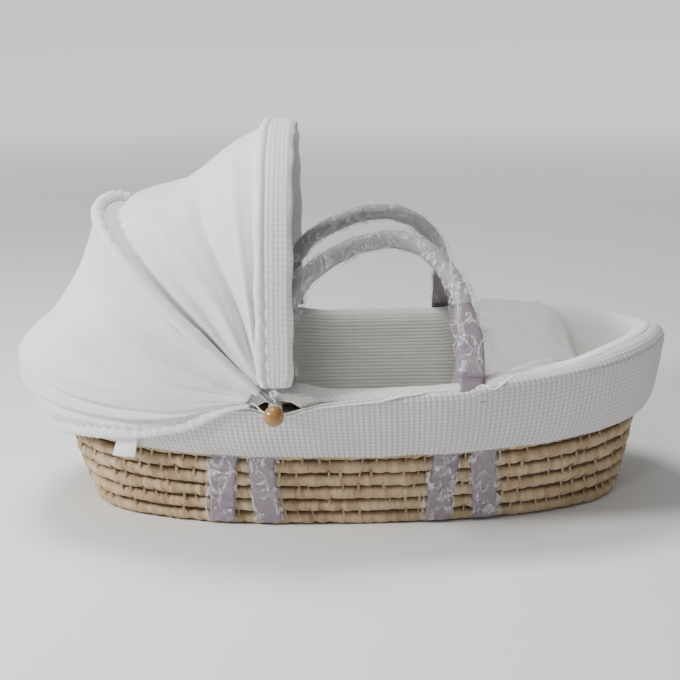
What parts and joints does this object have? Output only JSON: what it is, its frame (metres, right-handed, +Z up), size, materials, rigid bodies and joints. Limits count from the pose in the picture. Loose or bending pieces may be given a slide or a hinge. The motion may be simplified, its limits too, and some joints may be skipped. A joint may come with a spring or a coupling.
{
  "type": "moses basket",
  "caption": "Oval coiled wicker cradle with padded waffle dressing, two soft carrying loops, bedding and a folding fabric hood pivoted on wooden knobs.",
  "frame": {"origin": "middle of the flat underside of the wicker floor, on the surface the basket stands on", "axes": "+X along the length to the foot end, -X to the head end under the hood, +Y across to the far long side, +Z up"},
  "size_m": [0.8649, 0.5712, 0.5048],
  "materials": {
    "wicker": "dry coiled palm leaf with wrapped stitches, matt, pale straw to tan",
    "webbing": "flat grey-lilac strap under loose clear film",
    "grip_cloth": "padded grey-lilac cloth sleeve",
    "clear_film": "loose clear wrinkled wrapping film, glossy",
    "waffle_cotton": "warm white cotton in waffle weave, cells about 6.5 by 5 mm",
    "bedding_cotton": "light grey-white waffle cotton, quilted",
    "mattress_cover": "plain white cotton over foam",
    "hood_cotton": "thin plain cool-white cotton, creased",
    "drawstring": "thin white cord",
    "zinc_steel": "zinc-plated wire and fasteners",
    "knob_wood": "varnished orange-brown turned wood, glossy",
    "label_satin": "blank white satin tab"
  },
  "bodies": {
    "basket": {"basket_wall": "wicker", "basket_floor": "wicker", "rim_coil": "wicker", "strap_head_rear": "webbing", "strap_head_front": "webbing", "strap_foot_rear": "webbing", "strap_foot_front": "webbing", "mattress": "mattress_cover", "coverlet": "bedding_cotton", "liner": "bedding_cotton", "skirt": "waffle_cotton", "hood_hem": "hood_cotton", "hem_tie_near": "drawstring", "hem_tie_far": "drawstring", "hood_rear_panel": "hood_cotton", "care_label": "label_satin", "pivot_bolt_near": "zinc_steel", "pivot_bolt_far": "zinc_steel", "inner_washer_near": "zinc_steel", "inner_washer_far": "zinc_steel", "spacer_washer_near": "zinc_steel", "spacer_washer_far": "zinc_steel", "outer_washer_near": "zinc_steel", "outer_washer_far": "zinc_steel"},
    "rear_bow": {"rear_bow": "zinc_steel", "rear_bow_casing": "hood_cotton", "hood_front_panel": "hood_cotton"},
    "front_bow": {"front_bow": "zinc_steel", "hood_cuff": "waffle_cotton", "cuff_tie_near": "drawstring", "cuff_tie_far": "drawstring"},
    "near_handle": {"handle_core_near": "webbing", "handle_grip_near": "grip_cloth", "handle_film_near": "clear_film"},
    "far_handle": {"handle_core_far": "webbing", "handle_grip_far": "grip_cloth", "handle_film_far": "clear_film"},
    "near_knob": {"knob_near": "knob_wood"},
    "far_knob": {"knob_far": "knob_wood"}
  },
  "joints": [
    {"name": "rear_bow_fold", "type": "hinge", "parent": "basket", "child": "rear_bow", "pos_m": [-0.089, 0, 0.186], "axis": [0, -1, 0], "range_deg": [0, 29], "deforming": ["hood_rear_panel"]},
    {"name": "front_bow_fold", "type": "hinge", "parent": "rear_bow", "child": "front_bow", "pos_m": [-0.089, 0, 0.186], "axis": [0, -1, 0], "range_deg": [0, 36], "deforming": ["hood_front_panel"]},
    {"name": "near_handle_swing", "type": "hinge", "parent": "basket", "child": "near_handle", "pos_m": [0, -0.21471, 0.21251], "axis": [-1, 0, 0], "range_deg": [-16, 41]},
    {"name": "far_handle_swing", "type": "hinge", "parent": "basket", "child": "far_handle", "pos_m": [0, 0.21471, 0.21251], "axis": [1, 0, 0], "range_deg": [-16, 41]},
    {"name": "near_knob_turn", "type": "hinge", "parent": "basket", "child": "near_knob", "pos_m": [-0.089, -0.2506, 0.186], "axis": [0, -1, 0], "continuous": true},
    {"name": "far_knob_turn", "type": "hinge", "parent": "basket", "child": "far_knob", "pos_m": [-0.089, 0.2506, 0.186], "axis": [0, 1, 0], "continuous": true}
  ]
}
